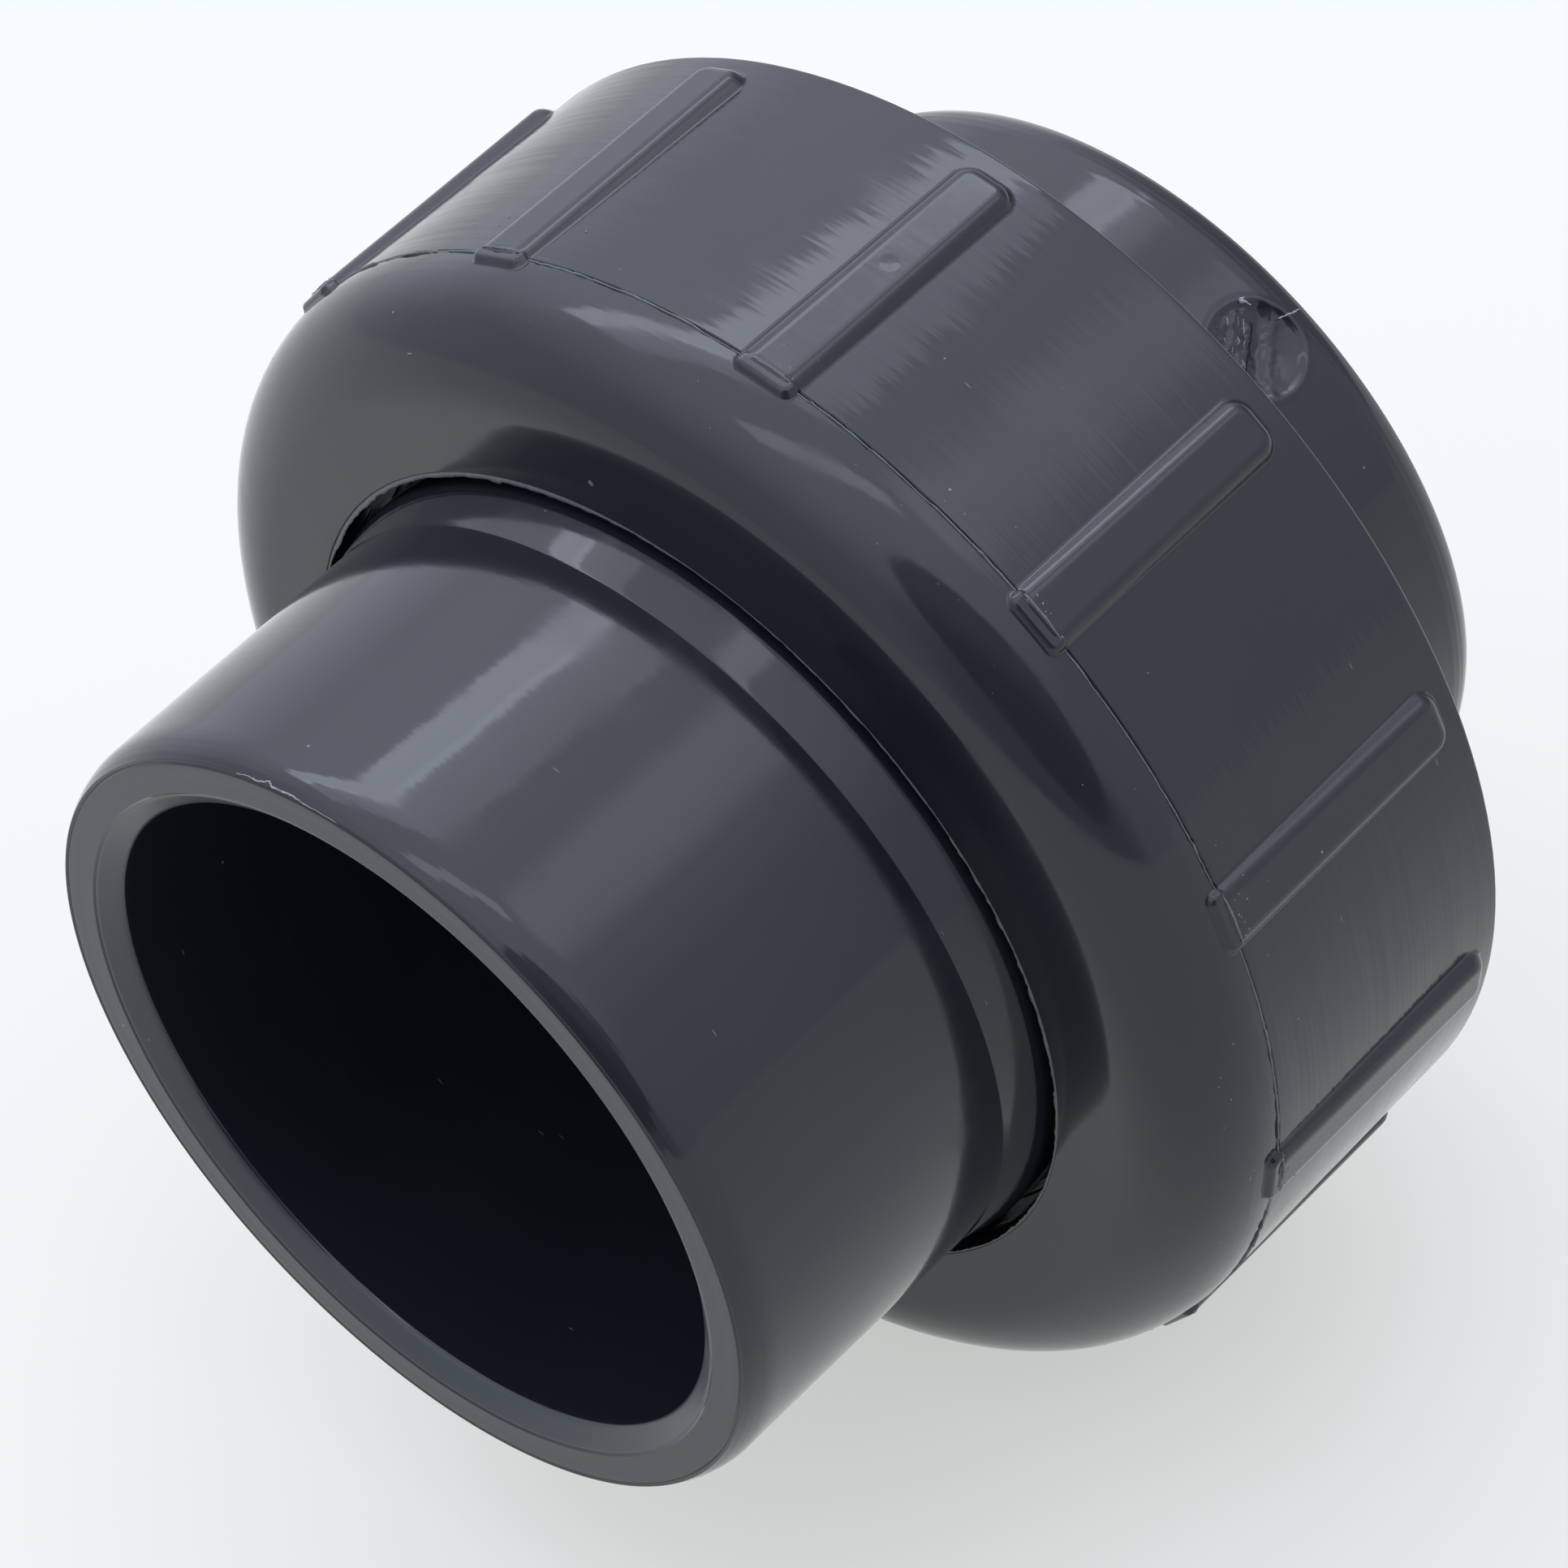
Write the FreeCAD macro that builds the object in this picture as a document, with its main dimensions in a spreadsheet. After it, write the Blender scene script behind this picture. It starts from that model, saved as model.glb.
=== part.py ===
import FreeCAD, Part
import Sketcher
import math
import os

# 2 inch Schedule 80 union fitting, socket by socket, in rigid PVC.
#
# A tail piece and a threaded body each take a pipe in a solvent-weld socket.
# The union nut bears on the tail piece's flange, screws onto the body and
# pulls the two faces together on an O-ring.
#
# The fitting lies on its nut with its axis along X: the tail piece's mouth
# looks along -X and the threaded body's mouth along +X. The origin is under
# the middle of the fitting, on the surface it rests on, with +Z up.
# Every profile is drawn with its distance from the tail mouth as x and its
# distance from the axis as y. Sizes are in millimetres.

DIMENSIONS = [
    # pipe sockets, the same at both ends
    ("socket_radius", 30.2, "mean radius of the 2 inch solvent-weld socket"),
    ("socket_depth", 38.1, "mouth to the shoulder the pipe stops against"),
    ("waterway_radius", 24.6, "bore behind the sockets"),
    ("mouth_bevel_radius", 32.0, "where the lead-in meets the flat mouth face"),
    ("mouth_bevel_length", 1.4, "axial length of the lead-in"),
    ("mouth_seam_drop", 1.1, "from the hub in to the seam on the mouth face"),
    ("mouth_round", 5.0, "rounding from the seam to the hub"),
    # tail piece
    ("tail_hub", 36.2, "outside radius of the tail piece's hub"),
    ("flare_start", 29.3, "end of the plain hub"),
    ("flare_end", 33.3, "start of the collar under the nut"),
    ("collar_radius", 37.15, "collar that centres the nut"),
    ("flange_radius", 44.7, "flange the nut pulls on"),
    ("flange_front", 39.15, "face the nut bears on"),
    ("tail_length", 45.1, "mouth to the sealing face"),
    # threaded body
    ("seal_gap", 0.1, "between the two sealing faces when tight"),
    ("total_length", 89.2, "mouth to mouth when tight"),
    ("body_hub", 35.8, "outside radius of the body's hub"),
    ("thread_end", 69.0, "back of the threaded ring"),
    ("core_radius", 40.4, "outside of the moulded recess behind the thread"),
    ("core_depth", 10.0, "depth of that recess"),
    ("groove_radius", 36.6, "mean radius of the O-ring groove"),
    ("groove_width", 3.7, "radial width of the O-ring groove"),
    ("groove_depth", 3.0, "depth of the O-ring groove"),
    ("ring_section", 3.08, "thickness of the O-ring"),
    ("gate_radius", 4.1, "round recess left for the moulding gate"),
    ("gate_depth", 0.9, "depth of that recess"),
    ("gate_position", 82.9, "its distance from the tail mouth"),
    ("gate_angle", 40.7, "its turn about the axis from straight up"),
    # thread
    ("pitch", 5.0, "advance of the nut in one turn"),
    ("thread_start", 49.0, "middle of the body's first turn"),
    ("male_length", 17.5, "advance of the thread on the body"),
    ("nut_length", 20.0, "advance of the thread in the nut"),
    ("male_minor", 45.2, "root radius on the body"),
    ("male_major", 47.5, "crest radius on the body"),
    ("nut_minor", 45.6, "crest radius in the nut"),
    ("nut_major", 47.9, "root radius in the nut"),
    ("ridge_root", 3.0, "width of a thread ridge at its root"),
    ("ridge_crest", 1.2, "width of a thread ridge at its crest"),
    # union nut
    ("nut_front", 33.1, "flat front face"),
    ("nut_back", 70.1, "open end"),
    ("nut_wall", 6.0, "thickness of the front wall"),
    ("nut_bore", 38.05, "hole the tail piece passes through"),
    ("nut_radius", 52.5, "outside at the open end"),
    ("nut_draft", 0.4, "growth of the radius towards the shoulder"),
    ("shoulder_round", 8.4, "rounding of the front shoulder"),
    ("seam_position", 42.2, "moulding seam behind the shoulder"),
    ("seam_width", 0.4, "width of every moulding seam"),
    ("seam_depth", 0.2, "depth of every moulding seam"),
    ("rib_count", 12, "grip ribs around the nut"),
    ("rib_front", 40.8, "front of a rib, ahead of the seam"),
    ("rib_back", 68.1, "back of a rib"),
    ("rib_width", 5.6, "width of a rib where it leaves the nut"),
    ("rib_top", 53.6, "radius at the top of a rib"),
    ("rib_foot", 51.4, "radius a rib starts from, inside the wall"),
    ("rib_slope", 35, "lean of a rib's sides in degrees"),
    ("rib_corner", 1.9, "corner radius of a rib seen from above"),
    ("rib_edge", 0.6, "rounding along the top of a rib"),
    ("mark_radius", 0.55, "round pin mark on one rib"),
    ("mark_depth", 0.15, "depth of that mark"),
    ("mark_position", 55.8, "its distance from the tail mouth"),
    ("small_edge", 0.5, "chamfer on the turned-down edges"),
]

doc = FreeCAD.newDocument("union_fitting")
sheet = doc.addObject("Spreadsheet::Sheet", "Dim")
for row, (alias, value, note) in enumerate(DIMENSIONS, start=1):
    sheet.set(f"A{row}", alias)
    sheet.set(f"B{row}", str(value))
    sheet.set(f"C{row}", note)
    sheet.setAlias(f"B{row}", alias)
doc.recompute()


def new_body(name):
    """Start a body whose local x is the distance from the tail mouth."""
    body = doc.addObject("PartDesign::Body", name)
    body.Label = name
    body.setExpression("Placement.Base.x", "-Dim.total_length / 2")
    # the nut's seam is its widest circle and rests on the ground
    body.setExpression("Placement.Base.z", "Dim.nut_radius + Dim.nut_draft")
    return body


def origin_feature(body, role):
    return next(item for item in body.Origin.OriginFeatures if item.Role == role)


def arc_centre(start, end, radius, turn):
    """Centre of the arc from start to end; turn is +1 anticlockwise, -1 clockwise."""
    chord = end - start
    middle = (start + end) * 0.5
    rise = math.sqrt(radius ** 2 - (chord.Length / 2) ** 2)
    across = FreeCAD.Vector(-chord.y, chord.x, 0)
    across.normalize()
    return middle + across * rise * turn


def pin_point(sketch, tag, geometry, point, expressions):
    """Hold one sketch point at two distances from the origin."""
    for kind, guide, expression in zip(("X", "Y"), (-2, -1), expressions):
        if expression == "0":
            sketch.addConstraint(Sketcher.Constraint("PointOnObject", geometry, point, guide))
            continue
        value = sketch.evalExpression(expression)
        pin = Sketcher.Constraint(f"Distance{kind}", -1, 1, geometry, point, float(value))
        name = f"{tag}_{kind.lower()}"
        sketch.renameConstraint(sketch.addConstraint(pin), name)
        sketch.setExpression(f"Constraints.{name}", expression)


def draw(body, name, corners, offset=None):
    """Draw a closed outline whose corners are (x, y) or (x, y, radius, turn).

    The two extra values make the side that leaves the corner an arc.
    """
    sketch = body.newObject("Sketcher::SketchObject", name)
    sketch.AttachmentSupport = (origin_feature(body, "XY_Plane"), [""])
    sketch.MapMode = "FlatFace"
    if offset:
        sketch.setExpression("AttachmentOffset.Base.z", offset)
    points = [FreeCAD.Vector(float(sketch.evalExpression(corner[0])),
                             float(sketch.evalExpression(corner[1])), 0)
              for corner in corners]
    sides = []
    for index, corner in enumerate(corners):
        start, end = points[index], points[(index + 1) % len(points)]
        if len(corner) == 2:
            side = sketch.addGeometry(Part.LineSegment(start, end))
            sides.append((side, 1, 2))
            continue
        radius = float(sketch.evalExpression(corner[2]))
        centre = arc_centre(start, end, radius, corner[3])
        circle = Part.Circle(centre, FreeCAD.Vector(0, 0, 1), radius)
        angles = [math.atan2(p.y - centre.y, p.x - centre.x) for p in (start, end)]
        ends = (1, 2)
        if corner[3] < 0:
            angles.reverse()
            ends = (2, 1)
        side = sketch.addGeometry(Part.ArcOfCircle(circle, *angles))
        sides.append((side, *ends))
        pin = sketch.addConstraint(Sketcher.Constraint("Radius", side, radius))
        sketch.renameConstraint(pin, f"r{index}")
        sketch.setExpression(f"Constraints.r{index}", corner[2])
    for index, (side, start, _) in enumerate(sides):
        before, _, end = sides[index - 1]
        sketch.addConstraint(Sketcher.Constraint("Coincident", before, end, side, start))
        pin_point(sketch, f"p{index}", side, start, corners[index][:2])
    return sketch


def revolve(body, name, corners):
    """Turn an outline about the body's axis."""
    sketch = draw(body, f"{name}_outline", corners)
    solid = body.newObject("PartDesign::Revolution", name)
    solid.Profile = sketch
    solid.ReferenceAxis = (sketch, ["H_Axis"])
    solid.Angle = 360
    doc.recompute()
    return solid


def thread_ridge(body, name, start, advance, root, crest, buried):
    """Wind a right-hand trapezium ridge onto a cylinder of radius root."""
    sketch = draw(body, f"{name}_outline", [
        (f"{start} - Dim.ridge_root / 2", buried),
        (f"{start} - Dim.ridge_root / 2", root),
        (f"{start} - Dim.ridge_crest / 2", crest),
        (f"{start} + Dim.ridge_crest / 2", crest),
        (f"{start} + Dim.ridge_root / 2", root),
        (f"{start} + Dim.ridge_root / 2", buried),
    ])
    ridge = body.newObject("PartDesign::AdditiveHelix", name)
    ridge.Profile = sketch
    ridge.ReferenceAxis = (sketch, ["H_Axis"])
    ridge.Mode = "pitch-height-angle"
    ridge.setExpression("Pitch", "Dim.pitch")
    ridge.setExpression("Height", advance)
    doc.recompute()
    return ridge


# length of the rounding that joins the mouth seam to the hub
ROUND_LENGTH = ("sqrt(Dim.mouth_round ^ 2 - (Dim.mouth_round - Dim.mouth_seam_drop"
                " + Dim.seam_width / 2) ^ 2)")


def mouth(hub, place):
    """Corners of a pipe mouth from inside the socket out to a hub of radius hub.

    place turns a distance from the mouth into a sketch position.
    """
    seam = f"{hub} - Dim.mouth_seam_drop"
    return [
        (place("Dim.mouth_bevel_length"), "Dim.socket_radius"),
        (place("0"), "Dim.mouth_bevel_radius"),
        (place("0"), f"{seam} - Dim.seam_width / 2"),
        (place("Dim.seam_depth"), seam),
        (place("0"), f"{seam} + Dim.seam_width / 2"),
        (place(ROUND_LENGTH), hub),
    ]


def build_tail_piece():
    """Hub, collar and flange around the pipe socket."""
    body = new_body("tail_piece")
    outline = mouth("Dim.tail_hub", lambda distance: distance)
    seam_outer = outline[4]
    outline[4] = (*seam_outer, "Dim.mouth_round", -1)
    outline += [
        ("Dim.flare_start", "Dim.tail_hub"),
        ("Dim.flare_end", "Dim.collar_radius"),
        ("Dim.flange_front", "Dim.collar_radius"),
        ("Dim.flange_front", "Dim.flange_radius - Dim.small_edge"),
        ("Dim.flange_front + Dim.small_edge", "Dim.flange_radius"),
        ("Dim.tail_length - Dim.small_edge", "Dim.flange_radius"),
        ("Dim.tail_length", "Dim.flange_radius - Dim.small_edge"),
        ("Dim.tail_length", "Dim.waterway_radius + Dim.small_edge"),
        ("Dim.tail_length - Dim.small_edge", "Dim.waterway_radius"),
        ("Dim.socket_depth", "Dim.waterway_radius"),
        ("Dim.socket_depth", "Dim.socket_radius"),
    ]
    revolve(body, "tail_turned", outline)
    return body


def build_threaded_body():
    """Socket hub with the male thread, the O-ring groove and the gate recess."""
    body = new_body("threaded_body")
    face = "Dim.tail_length + Dim.seal_gap"
    socket_floor = "Dim.total_length - Dim.socket_depth"
    rear_mouth = mouth("Dim.body_hub", lambda distance: f"Dim.total_length - {distance}")
    hub_end = rear_mouth.pop()
    rear_mouth.reverse()
    outline = [
        (socket_floor, "Dim.socket_radius"),
        (socket_floor, "Dim.waterway_radius"),
        (f"{face} + Dim.small_edge", "Dim.waterway_radius"),
        (face, "Dim.waterway_radius + Dim.small_edge"),
        (face, "Dim.groove_radius - Dim.groove_width / 2"),
        (f"{face} + Dim.groove_depth", "Dim.groove_radius - Dim.groove_width / 2"),
        (f"{face} + Dim.groove_depth", "Dim.groove_radius + Dim.groove_width / 2"),
        (face, "Dim.groove_radius + Dim.groove_width / 2"),
        (face, "Dim.male_minor - 2 * Dim.small_edge"),
        (f"{face} + 2 * Dim.small_edge", "Dim.male_minor"),
        ("Dim.thread_end - Dim.small_edge", "Dim.male_minor"),
        ("Dim.thread_end", "Dim.male_minor - Dim.small_edge"),
        ("Dim.thread_end", "Dim.core_radius"),
        ("Dim.thread_end - Dim.core_depth", "Dim.core_radius - Dim.small_edge"),
        ("Dim.thread_end - Dim.core_depth", "Dim.body_hub"),
        (*hub_end, "Dim.mouth_round", -1),
        *rear_mouth,
    ]
    revolve(body, "body_turned", outline)
    thread_ridge(body, "male_thread", "Dim.thread_start", "Dim.male_length",
                 "Dim.male_minor", "Dim.male_major", "Dim.male_minor - Dim.small_edge")

    gate = body.newObject("PartDesign::SubtractiveCylinder", "gate_recess")
    gate.setExpression("Radius", "Dim.gate_radius")
    gate.setExpression("Height", "Dim.gate_depth * 4")
    floor = "(Dim.body_hub - Dim.gate_depth)"
    gate.Placement.Rotation = FreeCAD.Rotation(FreeCAD.Vector(1, 0, 0), 0)
    gate.setExpression("Placement.Base.x", "Dim.gate_position")
    gate.setExpression("Placement.Base.y", f"-{floor} * sin(Dim.gate_angle)")
    gate.setExpression("Placement.Base.z", f"{floor} * cos(Dim.gate_angle)")
    gate.setExpression("Placement.Rotation.Angle", "Dim.gate_angle")
    doc.recompute()
    return body


def build_union_nut():
    """Ribbed nut with the female thread."""
    body = new_body("union_nut")
    # half a rib spacing of turn lets the nut rest between two ribs
    body.Placement.Rotation = FreeCAD.Rotation(FreeCAD.Vector(1, 0, 0), 15)
    body.setExpression("Placement.Rotation.Angle", "180 / Dim.rib_count")
    inside = "Dim.nut_front + Dim.nut_wall"
    shoulder_end = "Dim.nut_front + Dim.shoulder_round"
    widest = "Dim.nut_radius + Dim.nut_draft"
    outline = [
        ("Dim.nut_front", "Dim.nut_bore + Dim.small_edge"),
        ("Dim.nut_front", f"{widest} - Dim.shoulder_round", "Dim.shoulder_round", -1),
        (shoulder_end, widest),
        ("Dim.seam_position - Dim.seam_width / 2", widest),
        ("Dim.seam_position", f"{widest} - Dim.seam_depth"),
        ("Dim.seam_position + Dim.seam_width / 2", widest),
        ("Dim.nut_back - Dim.small_edge / 2", "Dim.nut_radius"),
        ("Dim.nut_back", "Dim.nut_radius - Dim.small_edge / 2"),
        ("Dim.nut_back", "Dim.nut_major + 2 * Dim.small_edge"),
        ("Dim.nut_back - 2 * Dim.small_edge", "Dim.nut_major"),
        (f"{inside} + 2 * Dim.small_edge", "Dim.nut_major"),
        (inside, "Dim.nut_major - 2 * Dim.small_edge"),
        (inside, "Dim.nut_bore"),
        ("Dim.nut_front + 2 * Dim.small_edge", "Dim.nut_bore"),
    ]
    revolve(body, "nut_turned", outline)

    # half a pitch back puts the ridge in the body's groove, and the rest
    # makes up for the nut's own turn
    start = "(Dim.thread_start - Dim.pitch * (0.5 - 0.5 / Dim.rib_count))"
    thread_ridge(body, "nut_thread", start, "Dim.nut_length",
                 "Dim.nut_major", "Dim.nut_minor", "Dim.nut_major + Dim.small_edge")

    build_ribs(body)
    return body


def build_ribs(body):
    """One tapered rib with rounded edges, repeated around the nut."""
    spread = "(Dim.rib_top - Dim.rib_foot) / 2 * tan(Dim.rib_slope)"
    half = f"(Dim.rib_width / 2 + {spread})"
    front = f"Dim.rib_front - {spread}"
    back = f"Dim.rib_back + {spread}"
    corner = "Dim.rib_corner"
    sketch = draw(body, "rib_outline", [
        (front, f"-({half} - {corner})", corner, 1),
        (f"{front} + {corner}", f"-{half}"),
        (f"{back} - {corner}", f"-{half}", corner, 1),
        (back, f"-({half} - {corner})"),
        (back, f"{half} - {corner}", corner, 1),
        (f"{back} - {corner}", half),
        (f"{front} + {corner}", half, corner, 1),
        (front, f"{half} - {corner}"),
    ], offset="Dim.rib_foot")
    rib = body.newObject("PartDesign::Pad", "rib")
    rib.Profile = sketch
    rib.setExpression("Length", "Dim.rib_top - Dim.rib_foot")
    rib.setExpression("TaperAngle", "-Dim.rib_slope")

    doc.recompute()

    rounding = body.newObject("PartDesign::Fillet", "rib_rounding")
    rounding.Base = (rib, edges_at_height(rib.Shape, sheet.rib_top))
    rounding.setExpression("Radius", "Dim.rib_edge")
    doc.recompute()

    ribs = body.newObject("PartDesign::PolarPattern", "ribs")
    ribs.Originals = [rib, rounding]
    ribs.Axis = (origin_feature(body, "X_Axis"), [""])
    ribs.Angle = 360
    ribs.Occurrences = round(sheet.rib_count)
    body.Tip = ribs
    doc.recompute()

    mark = body.newObject("PartDesign::SubtractiveCylinder", "pin_mark")
    mark.setExpression("Radius", "Dim.mark_radius")
    mark.setExpression("Height", "1")
    mark.setExpression("Placement.Base.x", "Dim.mark_position")
    mark.setExpression("Placement.Base.z", "Dim.rib_top - Dim.mark_depth")
    doc.recompute()


def edges_at_height(shape, height):
    """Names of the edges that lie flat at a height above the body's axis."""
    return [f"Edge{number}" for number, edge in enumerate(shape.Edges, start=1)
            if abs(edge.BoundBox.ZMin - height) < 1e-4
            and abs(edge.BoundBox.ZMax - height) < 1e-4]


def build_o_ring():
    """Rubber ring standing in the body's groove against the tail piece."""
    ring = doc.addObject("Part::Torus", "o_ring")
    ring.Label = "o_ring"
    ring.setExpression("Radius1", "Dim.groove_radius")
    ring.setExpression("Radius2", "Dim.ring_section / 2")
    ring.Placement.Rotation = FreeCAD.Rotation(FreeCAD.Vector(0, 1, 0), 90)
    groove_floor = "Dim.tail_length + Dim.seal_gap + Dim.groove_depth"
    ring.setExpression("Placement.Base.x",
                       f"{groove_floor} - Dim.ring_section / 2 - Dim.total_length / 2")
    ring.setExpression("Placement.Base.z", "Dim.nut_radius + Dim.nut_draft")
    doc.recompute()
    return ring


def check_and_export(nodes):
    """Stop on a broken object, then write one STEP file for each node."""
    for item in doc.Objects:
        if "Invalid" in item.State or "Error" in item.State:
            raise RuntimeError(f"{item.Name} is {item.State}")
    os.makedirs("parts", exist_ok=True)
    for node in nodes:
        if node.Shape.isNull() or not node.Shape.isValid():
            raise RuntimeError(f"{node.Label} has a bad shape")
        node.Shape.exportStep(f"parts/{node.Label}.step")


nodes = [build_threaded_body(), build_tail_piece(), build_union_nut(), build_o_ring()]
doc.recompute()
check_and_export(nodes)
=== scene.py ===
"""Looks of the PVC union fitting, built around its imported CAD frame.

The four turned parts are fine meshes that stand for their CAD nodes. Their
outlines use the CAD's own measure: the distance s from the tail mouth along
the axis and the distance r from the axis, both in millimetres. Angles about
the axis are in degrees from straight up, growing towards +Y.
"""
import math

import bmesh
import bpy
import numpy as np
from mathutils import Matrix, Vector


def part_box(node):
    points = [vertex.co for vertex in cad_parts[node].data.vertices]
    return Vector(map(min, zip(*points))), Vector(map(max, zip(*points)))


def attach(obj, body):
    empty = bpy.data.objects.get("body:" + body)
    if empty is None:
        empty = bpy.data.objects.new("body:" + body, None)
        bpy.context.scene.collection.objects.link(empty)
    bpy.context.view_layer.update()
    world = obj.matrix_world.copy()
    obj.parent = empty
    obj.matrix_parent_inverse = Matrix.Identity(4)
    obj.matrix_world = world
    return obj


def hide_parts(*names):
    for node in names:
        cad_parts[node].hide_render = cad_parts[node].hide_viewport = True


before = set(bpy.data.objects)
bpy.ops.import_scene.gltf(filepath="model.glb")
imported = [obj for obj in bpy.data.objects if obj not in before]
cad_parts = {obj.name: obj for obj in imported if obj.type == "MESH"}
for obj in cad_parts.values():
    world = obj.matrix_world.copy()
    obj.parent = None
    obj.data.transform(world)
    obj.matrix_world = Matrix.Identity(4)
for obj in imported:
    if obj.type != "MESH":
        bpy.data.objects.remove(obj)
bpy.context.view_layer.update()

MM = 0.001
TAIL_LOW, TAIL_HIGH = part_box("tail_piece")
MOUTH_X = TAIL_LOW.x / MM
AXIS_Z = (TAIL_LOW.z + TAIL_HIGH.z) / 2 / MM
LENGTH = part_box("threaded_body")[1].x / MM - MOUTH_X

# the pipe sockets
SOCKET = 30.2
SOCKET_DEPTH = 38.1
WATERWAY = 24.6
BEVEL_RADIUS = 32.0
BEVEL_LENGTH = 1.4
TAIL_HUB = 36.2
BODY_HUB = 35.8
SEAM_DROP = 1.1
MOUTH_ROUND = 5.0

# the tail piece
FLARE = ((29.3, 36.2), (33.3, 37.15))
FLANGE_FRONT = 39.15
FLANGE_RADIUS = 44.7
TAIL_LENGTH = 45.1

# the threaded body
BODY_FACE = 45.2
GROOVE_RADIUS = 36.6
GROOVE_WIDTH = 3.7
GROOVE_DEPTH = 3.0
RING_SECTION = 3.08
MALE_MINOR = 45.2
MALE_MAJOR = 47.5
THREAD_END = 69.0
CORE_RADIUS = 40.4
CORE_DEPTH = 10.0
GATE = {"s": 82.9, "angle": -40.7, "radius": 4.1, "depth": 0.9}

# the thread
PITCH = 5.0
MALE_START = 49.0
MALE_ADVANCE = 17.5
NUT_ADVANCE = 20.0
RUN_OUT = 0.6
RIDGE_ROOT = 3.0
RIDGE_CREST = 1.2

# the union nut
NUT_FRONT = 33.1
NUT_BACK = 70.1
NUT_WALL = 6.0
NUT_BORE = 38.05
RIM_CHAMFER = 0.5
NUT_MINOR = 45.6
NUT_MAJOR = 47.9
NUT_RADIUS = 52.5
NUT_WIDEST = 52.9
SHOULDER = 8.4
SEAM = 42.2
RIBS = 12
RIB_FRONT = 40.75
RIB_BACK = 68.1
RIB_WIDTH = 5.7
RIB_TOP = 53.6
RIB_CORNER = 1.9
RIB_FLANK = 1.45
LUG_DROP = 0.12
LUG_CORNER = 0.95
LUG_FLANK = 0.6
PIN_MARK = {"s": 55.8, "angle": -15.0, "radius": 0.55, "depth": 0.035, "wall": 0.4}

# fine detail
SEAM_WIDTH = 0.4
SEAM_DEPTH = 0.2
MOUTH_LINE = 0.22
MOUTH_LINE_HEIGHT = 0.012
MOUTH_LINES = 64
SHAVINGS = 110
GATE_SHREDS = 16
ON_WALL = 0.02

# how finely outlines are divided
SPACING = 0.9
ARC_STEP = math.radians(9)


# ---------------------------------------------------------------- turned shapes

def arc(centre, radius, start, end, pieces):
    """Outline points on an arc; its angles are in degrees, 0 along +s and 90 along +r."""
    angles = np.radians(np.linspace(start, end, pieces + 1))
    return [(centre[0] + radius * math.cos(a), centre[1] + radius * math.sin(a)) for a in angles]


def rounded(corners):
    """Points along an open outline of corners (s, r), (s, r, fillet) or (s, r, fillet, spacing).

    A corner's fillet rounds it, and its spacing divides the side that leaves it.
    """
    runs = []
    for index, corner in enumerate(corners):
        here = np.array(corner[:2], float)
        fillet = corner[2] if len(corner) > 2 else 0
        if fillet == 0 or index in (0, len(corners) - 1):
            runs.append([here])
            continue
        to_last = np.array(corners[index - 1][:2]) - here
        to_next = np.array(corners[index + 1][:2]) - here
        to_last /= np.linalg.norm(to_last)
        to_next /= np.linalg.norm(to_next)
        opening = math.acos(np.clip(to_last @ to_next, -1, 1))
        middle = (to_last + to_next) / np.linalg.norm(to_last + to_next)
        centre = here + middle * fillet / math.sin(opening / 2)
        start = here + to_last * fillet / math.tan(opening / 2) - centre
        end = here + to_next * fillet / math.tan(opening / 2) - centre
        swept = math.pi - opening
        pieces = max(2, math.ceil(swept / ARC_STEP))
        shares = np.arange(pieces + 1) / pieces
        runs.append([centre + (math.sin((1 - t) * swept) * start + math.sin(t * swept) * end)
                     / math.sin(swept) for t in shares])
    points = []
    for corner, run, following in zip(corners, runs, runs[1:] + [None]):
        points += run
        if following is None:
            break
        spacing = corner[3] if len(corner) > 3 else SPACING
        gap = following[0] - run[-1]
        steps = max(1, round(float(np.linalg.norm(gap)) / spacing))
        points += [run[-1] + gap * k / steps for k in range(1, steps)]
    return np.array(points)


def closed_mesh(name, rings):
    """A closed mesh through rings of points. A ring may be a whole number of times finer than the next."""
    sizes = [len(ring) for ring in rings]
    first = np.concatenate([[0], np.cumsum(sizes)])
    polygons = []
    for index, a in enumerate(sizes):
        after = (index + 1) % len(rings)
        b = sizes[after]
        count = min(a, b)
        for j in range(count):
            near = [int(first[index]) + i % a for i in range(j * a // count, (j + 1) * a // count + 1)]
            far = [int(first[after]) + i % b for i in range(j * b // count, (j + 1) * b // count + 1)]
            polygons.append(near + far[::-1])
    mesh = bpy.data.meshes.new(name)
    mesh.from_pydata(np.concatenate(rings) * MM, [], polygons)
    mesh.polygons.foreach_set("use_smooth", [True] * len(polygons))
    outward = sum(face.center.dot(face.normal) * face.area for face in mesh.polygons)
    if outward < 0:
        mesh.flip_normals()
    mesh.update()
    piece = bpy.data.objects.new(name, mesh)
    bpy.context.scene.collection.objects.link(piece)
    return piece


def placed(s, r, angle):
    """Points in the frame, in millimetres, from distances and angles about the axis."""
    turn = np.radians(angle)
    return np.stack(np.broadcast_arrays(MOUTH_X + s, r * np.sin(turn), AXIS_Z + r * np.cos(turn)), -1)


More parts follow.
